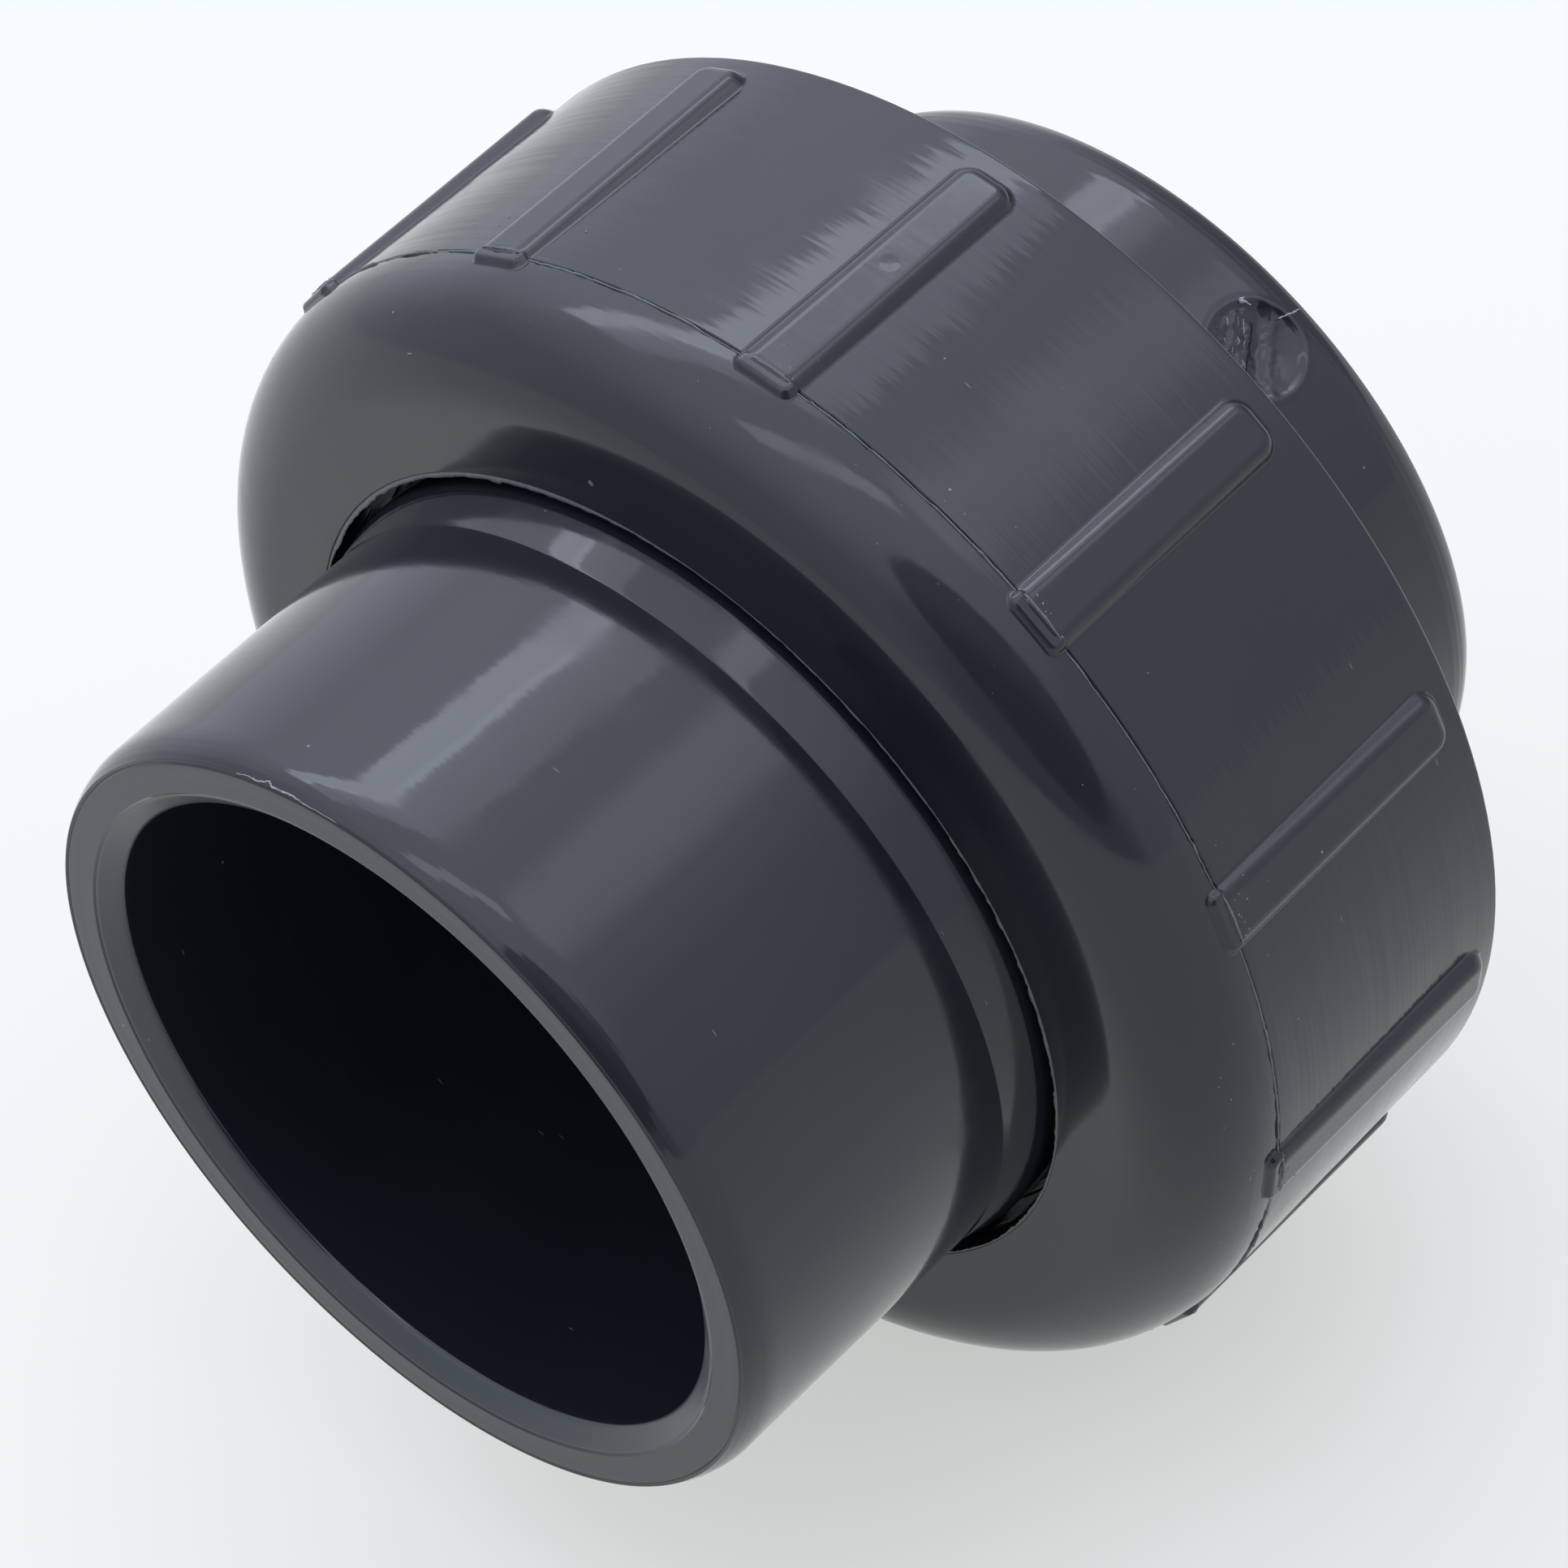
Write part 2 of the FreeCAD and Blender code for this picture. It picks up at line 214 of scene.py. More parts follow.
def turned(name, sections, relief):
    """A turned piece. sections holds (outline points, angles), in order around the wall.

    relief(s, r, angle) gives how far the surface stands out along its normal.
    """
    outline = np.concatenate([points for points, _ in sections])
    following = np.roll(outline, -1, 0)
    area = np.sum(outline[:, 0] * following[:, 1] - following[:, 0] * outline[:, 1])
    along = following - np.roll(outline, 1, 0)
    along /= np.linalg.norm(along, axis=1)[:, None] * np.sign(area)
    rings = []
    row = 0
    for points, angles in sections:
        s, angle = np.meshgrid(points[:, 0], angles, indexing="ij")
        r = np.repeat(points[:, 1:], len(angles), 1)
        out = along[row:row + len(points)]
        lift = relief(s, r, angle)
        rings += list(placed(s + lift * out[:, 1:], r - lift * out[:, :1], angle))
        row += len(points)
    return closed_mesh(name, rings)


def smooth(value):
    value = np.clip(value, 0, 1)
    return value * value * (3 - 2 * value)


def waves(s, angle, seed, size):
    """Slow unevenness of a moulded wall, about size millimetres high."""
    rng = np.random.default_rng(seed)
    total = 0
    for turns in range(1, 9):
        run = 2 * math.pi * s / rng.uniform(9, 40) * rng.choice([-1, 1])
        start = rng.uniform(0, 2 * math.pi)
        total = total + np.cos(np.radians(angle) * turns + start + run) / (turns + 1)
    return total * size / 2


def ragged(angle, seed, knots, low, high):
    """An uneven run of values around the axis, between low and high."""
    rng = np.random.default_rng(seed)
    places = np.sort(rng.uniform(0, 360, knots))
    return np.interp(angle % 360, places, rng.uniform(low, high, knots), period=360)


# ---------------------------------------------------------------- the turned parts

def rounding_start(hub):
    """How far from its circle's middle a mouth's rounding meets the seam, measured along the axis."""
    height = hub - SEAM_DROP + SEAM_WIDTH / 2 - (hub - MOUTH_ROUND)
    return math.sqrt(MOUTH_ROUND ** 2 - height ** 2)


def mouth(hub):
    """Corners of a pipe mouth, from the hub's rounding over the seam and the face in to the socket.

    Between the face and the bevel there is a fine step.
    """
    seam = hub - SEAM_DROP
    centre = hub - MOUTH_ROUND
    reach = rounding_start(hub)
    end = math.degrees(math.acos(-reach / MOUTH_ROUND))
    return arc((reach, centre), MOUTH_ROUND, 90, end, 26) + [
        (SEAM_DEPTH, seam, 0.04, 0.2),
        (0, seam - SEAM_WIDTH / 2, 0.06, 0.3),
        (0, BEVEL_RADIUS + 0.28, 0.05, 0.3),
        (0.13, BEVEL_RADIUS + 0.1, 0.05, 0.2),
        (0.1, BEVEL_RADIUS - 0.05, 0.3, 0.5),
        (BEVEL_LENGTH, SOCKET, 1.0, 2.5),
    ]


def tail_outline():
    return rounded([
        *mouth(TAIL_HUB),
        (SOCKET_DEPTH, SOCKET, 0.5, 1.2),
        (SOCKET_DEPTH, WATERWAY, 0.5, 1.2),
        (TAIL_LENGTH, WATERWAY, 0.5, 2.0),
        (TAIL_LENGTH, FLANGE_RADIUS, 0.5),
        (FLANGE_FRONT, FLANGE_RADIUS, 0.5, 1.2),
        (FLANGE_FRONT, FLARE[1][1], 0.3, 0.8),
        (*FLARE[1], 2.0, 0.5),
        (*FLARE[0], 0.9, 0.8),
        (3.5, TAIL_HUB),
    ])


def body_outline():
    """The body's outline, drawn from its own mouth and then turned end for end."""
    groove_in = GROOVE_RADIUS - GROOVE_WIDTH / 2
    groove_out = GROOVE_RADIUS + GROOVE_WIDTH / 2
    face = LENGTH - BODY_FACE
    thread_end = LENGTH - THREAD_END
    gate = LENGTH - GATE["s"]
    outline = rounded([
        *mouth(BODY_HUB),
        (SOCKET_DEPTH, SOCKET, 0.5, 1.2),
        (SOCKET_DEPTH, WATERWAY, 0.5, 2.0),
        (face, WATERWAY, 0.5, 2.0),
        (face, groove_in, 0.15, 0.8),
        (face - GROOVE_DEPTH, groove_in, 0.2, 0.8),
        (face - GROOVE_DEPTH, groove_out, 0.2, 0.8),
        (face, groove_out, 0.15, 1.5),
        (face, MALE_MINOR, 0.8, 0.26),
        (thread_end, MALE_MINOR, 0.5, 0.8),
        (thread_end, CORE_RADIUS, 0.4, 1.5),
        (thread_end + CORE_DEPTH, CORE_RADIUS - 0.5, 0.8, 1.0),
        (thread_end + CORE_DEPTH, BODY_HUB, 0.8, 1.2),
        (gate + GATE["radius"] + 1, BODY_HUB, 0, 0.2),
        (3.1, BODY_HUB),
    ])
    return outline * (-1, 1) + (LENGTH, 0)


def nut_outside():
    """From the bore's front rim over the shoulder to the open end."""
    face = rounded([
        (NUT_FRONT + 2 * RIM_CHAMFER, NUT_BORE, 0, 0.3),
        (NUT_FRONT, NUT_BORE + RIM_CHAMFER, 0.12, 1.2),
        (NUT_FRONT, NUT_WIDEST - SHOULDER, 0, 1.2),
    ])
    middle = (NUT_FRONT + SHOULDER, NUT_WIDEST - SHOULDER)
    shoulder = arc(middle, SHOULDER, 180, 102, 14)[1:] + arc(middle, SHOULDER, 102, 90, 14)[1:-1]
    mark_radius = (NUT_WIDEST + NUT_RADIUS) / 2
    wall = rounded([
        (NUT_FRONT + SHOULDER, NUT_WIDEST, 0, 0.12),
        (SEAM - SEAM_WIDTH / 2, NUT_WIDEST, 0.05, 0.2),
        (SEAM, NUT_WIDEST - SEAM_DEPTH, 0.05, 0.2),
        (SEAM + SEAM_WIDTH / 2, NUT_WIDEST, 0.05, 0.2),
        (SEAM + 0.8, NUT_WIDEST, 0, 1.1),
        (PIN_MARK["s"] - 0.9, mark_radius, 0, 0.16),
        (PIN_MARK["s"] + 0.9, mark_radius, 0, 1.1),
        (RIB_BACK - 2.2, NUT_RADIUS + 0.05, 0, 0.17),
        (RIB_BACK + 0.2, NUT_RADIUS + 0.02, 0, 0.5),
        (NUT_BACK, NUT_RADIUS, 0.35, 1.2),
        (NUT_BACK, NUT_MAJOR + 1.8),
    ])
    return np.concatenate([face, shoulder, wall])


def nut_inside():
    """From the open end over the thread to the bore."""
    inside = NUT_FRONT + NUT_WALL
    return rounded([
        (NUT_BACK, NUT_MAJOR + 1.2, 0, 0.6),
        (NUT_BACK, NUT_MAJOR + 1.0, 0.1, 0.4),
        (NUT_BACK - 1.0, NUT_MAJOR, 0.3, 0.34),
        (inside, NUT_MAJOR, 0.8, 1.4),
        (inside, NUT_BORE, 0.3, 1.4),
        (NUT_FRONT + 1.9, NUT_BORE),
    ])


def ridge(s, angle, start, advance):
    """Height from 0 to 1 of a thread ridge whose middle starts at start, straight towards +Y."""
    shift = (s - start - PITCH * (90 - angle) / 360) / PITCH
    offset = (shift - np.round(shift)) * PITCH
    middle = s - offset
    flank = (RIDGE_ROOT - RIDGE_CREST) / 2
    height = smooth((RIDGE_ROOT / 2 - np.abs(offset)) / flank)
    return height * smooth((middle - start) / RUN_OUT) * smooth((start + advance - middle) / RUN_OUT)


def rib_height(s, r, angle):
    """How far the grip ribs stand above a nut wall of radius r.

    Ahead of the parting line each rib ends in a lower lug with tighter edges.
    """
    lug = s < SEAM - SEAM_WIDTH / 4
    corner = np.where(lug, LUG_CORNER, RIB_CORNER)
    flank = np.where(lug, LUG_FLANK, RIB_FLANK)
    top = np.where(lug, RIB_TOP - LUG_DROP, RIB_TOP)
    spacing = 360 / RIBS
    turn = angle / spacing - 0.5
    offset = np.radians((turn - np.round(turn)) * spacing)
    half = (RIB_BACK - RIB_FRONT) / 2
    across = np.abs(offset) * NUT_WIDEST - (RIB_WIDTH / 2 - corner)
    along = np.abs(s - RIB_FRONT - half) - (half - corner)
    outside = np.hypot(np.maximum(across, 0), np.maximum(along, 0))
    inside = corner - outside - np.minimum(np.maximum(across, along), 0)
    share = np.clip(inside / flank, 0, 1)
    return (top / np.cos(offset) - r) * (1 - (1 - share) ** 2.2)


def hollow(s, r, angle, spot):
    """Share of a round recess's depth on a wall of radius r, from 0 outside to 1 on its floor."""
    away = np.radians((angle - spot["angle"] + 180) % 360 - 180) * r
    return smooth((spot["radius"] - np.hypot(s - spot["s"], away)) / spot["wall"] + 0.5)


def mouth_lines(s, r, seed):
    """Fine turned lines on a pipe mouth's rounding, whose distance from the mouth's face is s."""
    heights = np.random.default_rng(seed).uniform(-1, 1, MOUTH_LINES)
    track = np.hypot(s, SOCKET + MOUTH_ROUND - r) / MOUTH_LINE
    fine = np.interp(track, np.arange(MOUTH_LINES), heights)
    return fine * MOUTH_LINE_HEIGHT * smooth((4.2 - s) / 2) * (r > BEVEL_RADIUS + 0.5)


def crumple(u, v, seed):
    """Uneven torn surface from about -1 to 1, with bumps about a millimetre across."""
    rng = np.random.default_rng(seed)
    count = 18
    total = 0
    for _ in range(count):
        heading = rng.uniform(0, math.pi)
        wavelength = rng.uniform(0.7, 1.9)
        run = (u * math.cos(heading) + v * math.sin(heading)) * 2 * math.pi / wavelength
        total = total + np.cos(run + rng.uniform(0, 2 * math.pi))
    return total / (count / 3)


def gate_relief(s, r, angle):
    """The recess where the gate was cut off: torn on the nut's side of a crease, ridged beyond it."""
    u = s - GATE["s"]
    v = np.radians((angle - GATE["angle"] + 180) % 360 - 180) * r
    out = np.hypot(u, v) / GATE["radius"]
    edge = 0.12
    recess = smooth((1 - out) / edge + 0.5)
    lip = smooth((1.13 - out) / edge + 0.5) - recess
    shallow = 0.12
    bowl = shallow + (GATE["depth"] - shallow) * np.clip(1 - out ** 2, 0, 1) ** 0.8
    rough = crumple(u, v, seed=5)
    side = (u - v) / math.sqrt(2) - 0.15 * np.sin(v * 1.3) + 0.25 * rough
    torn = smooth(0.2 - side / 1.6)
    crease = 0.12 * np.exp(-((side - 0.2) / 0.8) ** 2) - 0.13 * np.exp(-((side - 1.3) / 0.5) ** 2)
    floor = bowl * (1 - 0.6 * torn) + crease + (0.015 + 0.10 * torn) * rough
    return lip * 0.09 - recess * np.maximum(floor, 0.05)


def tail_relief(s, r, angle):
    return waves(s, angle, seed=3, size=0.02) + mouth_lines(s, r, seed=8)


def body_relief(s, r, angle):
    threaded = np.abs(r - MALE_MINOR) < ON_WALL
    thread = ridge(s, angle, MALE_START, MALE_ADVANCE) * (MALE_MAJOR - MALE_MINOR)
    outside = (r > BODY_HUB - SEAM_DROP) & (s > THREAD_END)
    gate = gate_relief(s, r, angle)
    lines = mouth_lines(LENGTH - s, r, seed=9)
    return waves(s, angle, seed=4, size=0.02) + thread * threaded + gate * outside + lines


def nut_relief(s, r, angle):
    outside = r > NUT_WIDEST - 1.5
    ribs = rib_height(s, r, angle) - hollow(s, r, angle, PIN_MARK) * PIN_MARK["depth"]
    threaded = np.abs(r - NUT_MAJOR) < ON_WALL
    thread = ridge(s, angle, MALE_START - PITCH / 2, NUT_ADVANCE) * (NUT_MAJOR - NUT_MINOR)
    return waves(s, angle, seed=6, size=0.025) + ribs * outside + thread * threaded


def nut_angles():
    """Closer together over each rib than between ribs."""
    spacing = 360 / RIBS
    reach = math.degrees((RIB_WIDTH / 2 + 0.4) / NUT_WIDEST)
    over = np.linspace(-reach, reach, 36, endpoint=False)
    free = np.linspace(reach, spacing - reach, 10, endpoint=False)
    sector = np.concatenate([over, free]) + spacing / 2
    return np.concatenate([sector + spacing * k for k in range(RIBS)])


def body_angles():
    """Closer together over the gate recess."""
    reach = math.degrees((GATE["radius"] + 1) / BODY_HUB)
    low = GATE["angle"] - reach
    high = GATE["angle"] + reach
    return np.concatenate([np.linspace(low, high, 50, endpoint=False),
                           np.linspace(high, low + 360, 180, endpoint=False)])


def make_o_ring():
    middle = (BODY_FACE + GROOVE_DEPTH - RING_SECTION / 2, GROOVE_RADIUS)
    section = np.array(arc(middle, RING_SECTION / 2, 0, 360, 28)[:-1])
    angles = np.arange(0, 360, 2.0)
    return turned("o_ring_seal", [(section, angles)], lambda s, r, angle: np.zeros_like(s))


# ---------------------------------------------------------------- moulding flash

def flash(name, angles, foot, tip, thickness):
    """A thin uneven lip around the axis. foot and tip are (s, r), each a number or one value per angle."""
    foot_s, foot_r = (np.broadcast_to(v, angles.shape) for v in foot)
    tip_s, tip_r = (np.broadcast_to(v, angles.shape) for v in tip)
    length = np.hypot(tip_s - foot_s, tip_r - foot_r)
    side_s = (tip_r - foot_r) / length * thickness / 2
    side_r = -(tip_s - foot_s) / length * thickness / 2
    rings = []
    for share, half in ((0, 1), (0.6, 0.7), (1, 0.3), (1, -0.3), (0.6, -0.7), (0, -1)):
        s = foot_s + (tip_s - foot_s) * share + side_s * half
        r = foot_r + (tip_r - foot_r) * share + side_r * half
        rings.append(placed(s, r, angles))
    return closed_mesh(name, rings)


def make_parting_flash():
    """Ragged lip where the two halves of the nut's mould met, which climbs over each rib."""
    angles = np.arange(0, 360, 0.25)
    wall = NUT_WIDEST + rib_height(SEAM, NUT_WIDEST, angles)
    height = (ragged(angles, seed=11, knots=420, low=0.02, high=0.2)
              * ragged(angles, seed=12, knots=30, low=0.5, high=1.3))
    lean = ragged(angles, seed=13, knots=260, low=-0.12, high=0.12)
    foot = SEAM - 0.1
    return flash("parting_flash", angles, (foot, wall - 0.12), (foot + lean, wall + height), 0.16)


def make_bore_burr():
    """Frayed edge left on the nut's bore, widest from the top to 60 degrees round."""
    angles = np.arange(0, 360, 0.4)
    wide = smooth((40 - np.abs((angles - 30 + 180) % 360 - 180)) / 15)
    teeth = (ragged(angles, seed=21, knots=520, low=0.0, high=0.34)
             * ragged(angles, seed=24, knots=90, low=0.2, high=1.0))
    reach = teeth + ragged(angles, seed=22, knots=20, low=0.0, high=0.12) + wide * 0.3
    return flash("bore_burr", angles, (NUT_FRONT + 0.2, NUT_BORE + 0.6),
                 (NUT_FRONT + 0.02, NUT_BORE + 0.45 - reach), 0.1)


def shards(name, vertices, faces):
    """One piece from many small closed scraps."""
    mesh = bpy.data.meshes.new(name)
    mesh.from_pydata([MM * v for v in vertices], [], faces)
    clean = bmesh.new()
    clean.from_mesh(mesh)
    bmesh.ops.recalc_face_normals(clean, faces=clean.faces)
    clean.to_mesh(mesh)
    clean.free()
    piece = bpy.data.objects.new(name, mesh)
    bpy.context.scene.collection.objects.link(piece)
    return piece


# a direction that no shred runs along
ASIDE = (0.31, 0.52, 0.79)


def add_shred(rng, vertices, faces, knots, radius, wobble):
    """Add a thin shred through knots (s, r, angle), uneven by wobble millimetres."""
    steps = 7 * (len(knots) - 1) + 1
    track = np.linspace(0, len(knots) - 1, steps)
    s, r, angle = (np.interp(track, range(len(knots)), column) for column in np.transpose(knots))
    line = placed(s, r, angle) + rng.normal(0, wobble, (steps, 3))
    along = np.gradient(line, axis=0)
    along /= np.linalg.norm(along, axis=1)[:, None]
    side = np.cross(along, ASIDE)
    side /= np.linalg.norm(side, axis=1)[:, None]
    up = np.cross(along, side)
    taper = np.sin(np.linspace(0.3, math.pi - 0.3, steps))[:, None]
    width = radius * rng.uniform(0.5, 1.3, (steps, 1)) * taper
    sides = 6
    turns = np.arange(sides) * 2 * math.pi / sides
    loops = [line + width * (side * math.cos(a) + up * math.sin(a)) for a in turns]
    first = len(vertices)
    vertices += list(np.stack(loops, 1).reshape(-1, 3))
    for i in range(steps - 1):
        near = first + i * sides
        far = near + sides
        for j in range(sides):
            following = (j + 1) % sides
            faces.append((near + j, near + following, far + following, far + j))
    faces.append(tuple(first + j for j in range(sides)))
    faces.append(tuple(first + (steps - 1) * sides + j for j in range(sides)))


def make_mouth_shred():
    """Pale shred of flash lying just outside the seam round the near mouth."""
    # distances out from the seam, with their angles
    track = ((0.25, 10.6), (0.3, 8.6), (0.26, 6.6), (0.42, 4.9),
             (0.26, 4.2), (0.3, 1.5), (0.22, -2.0), (0.2, -6.9))
    middle = TAIL_HUB - MOUTH_ROUND
    reach = rounding_start(TAIL_HUB)
    knots = []
    for out, angle in track:
        r = TAIL_HUB - SEAM_DROP + out
        knots.append((reach - math.sqrt(MOUTH_ROUND ** 2 - (r - middle) ** 2) - 0.03, r + 0.03, angle))
    vertices = []
    faces = []
    add_shred(np.random.default_rng(41), vertices, faces, knots, 0.07, 0.025)
    return shards("mouth_shred", vertices, faces)


def make_gate_shreds():
    """Torn plastic in the gate's recess: a strand and a nib at its edge, shreds on its rough side."""
    rng = np.random.default_rng(43)
    vertices = []
    faces = []
    middle = GATE["s"]
    angle = GATE["angle"]
    strand = [(middle + 3.3, BODY_HUB - 0.1, angle + 1.2),
              (middle + 4.4, BODY_HUB, angle + 0.6),
              (middle + 5.6, BODY_HUB - 0.35, angle + 0.3)]
    add_shred(rng, vertices, faces, strand, 0.1, 0.04)
    nib = [(middle + 2.4, BODY_HUB - 0.15, angle + 4.8),
           (middle + 1.9, BODY_HUB + 0.1, angle + 6.0),
           (middle + 2.6, BODY_HUB - 0.1, angle + 6.3)]
    add_shred(rng, vertices, faces, nib, 0.16, 0.05)
    for _ in range(GATE_SHREDS):
        side = rng.uniform(-3.0, -0.3)
        run = rng.uniform(-0.8, 0.8) * math.sqrt(GATE["radius"] ** 2 - side ** 2)
        length = rng.uniform(0.3, 0.9)
        knots = []
        for step in (-1, -0.4, 0.3, 1):
            along = run + step * length / 2
            beside = side + rng.uniform(-0.09, 0.09)
            s = middle + (beside + along) / math.sqrt(2)
            a = angle + math.degrees((along - beside) / math.sqrt(2) / BODY_HUB)
            knots.append((s, BODY_HUB + float(gate_relief(s, BODY_HUB, a)) + 0.01, a))
        add_shred(rng, vertices, faces, knots, rng.uniform(0.03, 0.07), 0.012)
    return shards("gate_shreds", vertices, faces)


def add_shard(rng, vertices, faces, place, sizes, height):
    """Add one small four-sided shard, long across a random heading, that stands on place (s, r, angle)."""
    s, r, angle = place
    heading = rng.uniform(0, math.pi)
    reach = rng.uniform(0.5, 1, 3) * (sizes[0], sizes[0], sizes[1])
    turns = heading + np.array([0.5, 2.6, 4.7])
    first = len(vertices)
    for out, turn in zip(reach, turns):
        foot_angle = angle + math.degrees(out * math.sin(turn) / r)
        vertices.append(placed(s + out * math.cos(turn), r, foot_angle))
    vertices.append(placed(s, r + height * rng.uniform(0.5, 1), angle))
    faces.append((first, first + 1, first + 2))
    faces += [(first + i, first + (i + 1) % 3, first + 3) for i in range(3)]


def shoulder_radius(s):
    """Radius of the nut's outside, from its rounded shoulder to just behind the parting line."""
    ahead = max(NUT_FRONT + SHOULDER - s, 0)
    return NUT_WIDEST - SHOULDER + math.sqrt(SHOULDER ** 2 - ahead ** 2)


def make_torn_nibs():
    """Shreds left where the parting flash was sheared off each rib, and shavings scattered about it."""
    rng = np.random.default_rng(31)
    vertices = []
    faces = []
    for k in range(RIBS):
        for _ in range(rng.integers(5, 15)):
            angle = (k + 0.5) * 360 / RIBS + rng.uniform(-2.4, 2.4)
            s = SEAM + rng.uniform(-0.2, 0.2) + rng.exponential(0.6)
            r = NUT_WIDEST + rib_height(s, NUT_WIDEST, angle) - 0.03
            add_shard(rng, vertices, faces, (s, r, angle), (0.12, 0.32), 0.13)
    for _ in range(SHAVINGS):
        s = SEAM + rng.uniform(-5, 5)
        angle = rng.uniform(0, 360)
        wall = shoulder_radius(s)
        r = wall + rib_height(s, wall, angle) - 0.03
        add_shard(rng, vertices, faces, (s, r, angle), (0.07, 0.26), 0.09)
    return shards("torn_nibs", vertices, faces)


# ---------------------------------------------------------------- materials

# each pair is the darker and the lighter tone of one surface
PVC_TONES = ((0.0085, 0.0103, 0.0138, 1), (0.0135, 0.0157, 0.0200, 1))
# the bevels' tones: a matt cut finish, painted lighter than the PVC as painted light on the bevels
CUT_AND_PAINTED_LIGHT_TONES = ((0.030, 0.036, 0.039, 1), (0.042, 0.049, 0.052, 1))
TORN_TONES = ((0.06, 0.065, 0.07, 1), (0.17, 0.18, 0.18, 1))
FRAYED_TONES = ((0.16, 0.17, 0.17, 1), (0.36, 0.37, 0.36, 1))
RUBBER_TONES = ((0.012, 0.012, 0.012, 1), (0.022, 0.022, 0.023, 1))
DUST = (0.16, 0.17, 0.18, 1)

PVC_IOR = 1.47
SMUDGE_ROUGHNESS = 0.12
# in metres
FINE_LINE_HEIGHT = 7e-7
ORANGE_PEEL_HEIGHT = 5e-6
RUBBER_GRAIN_HEIGHT = 8e-6


def node(tree, kind, inputs=None, **settings):
    """Add a shader node. inputs maps a socket's name or number to a value or to another node's output."""
    made = tree.nodes.new(kind)
    for name, value in settings.items():
        setattr(made, name, value)
    for name, value in (inputs or {}).items():
        if isinstance(value, bpy.types.NodeSocket):
            tree.links.new(value, made.inputs[name])
        else:
            made.inputs[name].default_value = value
    return made


def noise(tree, coordinates, sizes, detail=2.0):
    """Noise whose lumps have these sizes in millimetres along x, y and z, from 0 to 1."""
    scale = [1 / (MM * size) for size in sizes]
    mapping = node(tree, "ShaderNodeMapping", {"Vector": coordinates, "Scale": scale})
    inputs = {"Vector": mapping.outputs[0], "Scale": 1.0, "Detail": detail}
    return node(tree, "ShaderNodeTexNoise", inputs).outputs[0]


def between(tree, value, low, high, out_low, out_high):
    """Map value's range from low to high onto out_low to out_high, with soft ends."""
    return node(tree, "ShaderNodeMapRange", {
        "Value": value, "From Min": low, "From Max": high, "To Min": out_low, "To Max": out_high,
    }, interpolation_type="SMOOTHSTEP").outputs[0]


def mixed(tree, share, first, second):
    mix = node(tree, "ShaderNodeMix", {"Factor": share, "A": first, "B": second}, data_type="RGBA")
    return mix.outputs["Result"]


def product(tree, first, second):
    return node(tree, "ShaderNodeMath", {0: first, 1: second}, operation="MULTIPLY").outputs[0]


def vector_math(tree, operation, inputs):
    return node(tree, "ShaderNodeVectorMath", inputs, operation=operation).outputs


def new_material(name):
    material = bpy.data.materials.new(name)
    material.use_nodes = True
    tree = material.node_tree
    coordinates = node(tree, "ShaderNodeTexCoord").outputs["Object"]
    return material, tree, tree.nodes["Principled BSDF"], coordinates


def flecks(tree, place, turn, sizes, share, wide):
    """Scattered flecks in a share of the cells, which are sizes millimetres each way.

    turn is the cells' rotation, and wide is the share of a cell that its fleck takes.
    """
    scale = [1 / (MM * size) for size in sizes]
    mapping = node(tree, "ShaderNodeMapping", {"Vector": place, "Rotation": turn, "Scale": scale})
    cells = node(tree, "ShaderNodeTexVoronoi", {"Vector": mapping.outputs[0], "Scale": 1.0})
    chance = node(tree, "ShaderNodeSeparateColor", {0: cells.outputs["Color"]}).outputs[0]
    rare = node(tree, "ShaderNodeMath", {0: chance, 1: 1 - share}, operation="GREATER_THAN").outputs[0]
    return product(tree, rare, between(tree, cells.outputs["Distance"], wide / 2, wide, 1, 0))


def marked_normal(tree, place, amount):
    """Turning marks: each fine line around the axis leans the surface a little to one side or the other.

    They fade on surfaces that face along the axis and on the tops of the grip ribs.
    """
    normal = node(tree, "ShaderNodeNewGeometry").outputs["Normal"]
    forward = node(tree, "ShaderNodeSeparateXYZ", {0: normal}).outputs["X"]
    slope = node(tree, "ShaderNodeMath", {0: forward}, operation="ABSOLUTE").outputs[0]
    across = vector_math(tree, "MULTIPLY_ADD", {0: place, 1: (0, 1, 1), 2: (0, 0, -AXIS_Z * MM)})[0]
    radius = vector_math(tree, "LENGTH", {0: across})["Value"]
    lean = between(tree, noise(tree, place, (0.32, 16, 16), 5), 0, 1, -amount, amount)
    lean = product(tree, lean, between(tree, slope, 0.1, 0.4, 1, 0.1))
    off_ribs = between(tree, radius, (NUT_WIDEST + 0.1) * MM, (NUT_WIDEST + 0.5) * MM, 1, 0.15)
    lean = product(tree, lean, off_ribs)
    around = vector_math(tree, "CROSS_PRODUCT", {0: (1, 0, 0), 1: normal})[0]
    push = vector_math(tree, "SCALE", {0: around, "Scale": lean})[0]
    leant = vector_math(tree, "ADD", {0: normal, 1: push})[0]
    return vector_math(tree, "NORMALIZE", {0: leant})[0]


def bump(tree, height, distance, normal):
    """Relief on top of another normal. distance is in metres."""
    inputs = {"Height": height, "Strength": 1.0, "Distance": distance, "Normal": normal}
    return node(tree, "ShaderNodeBump", inputs).outputs[0]


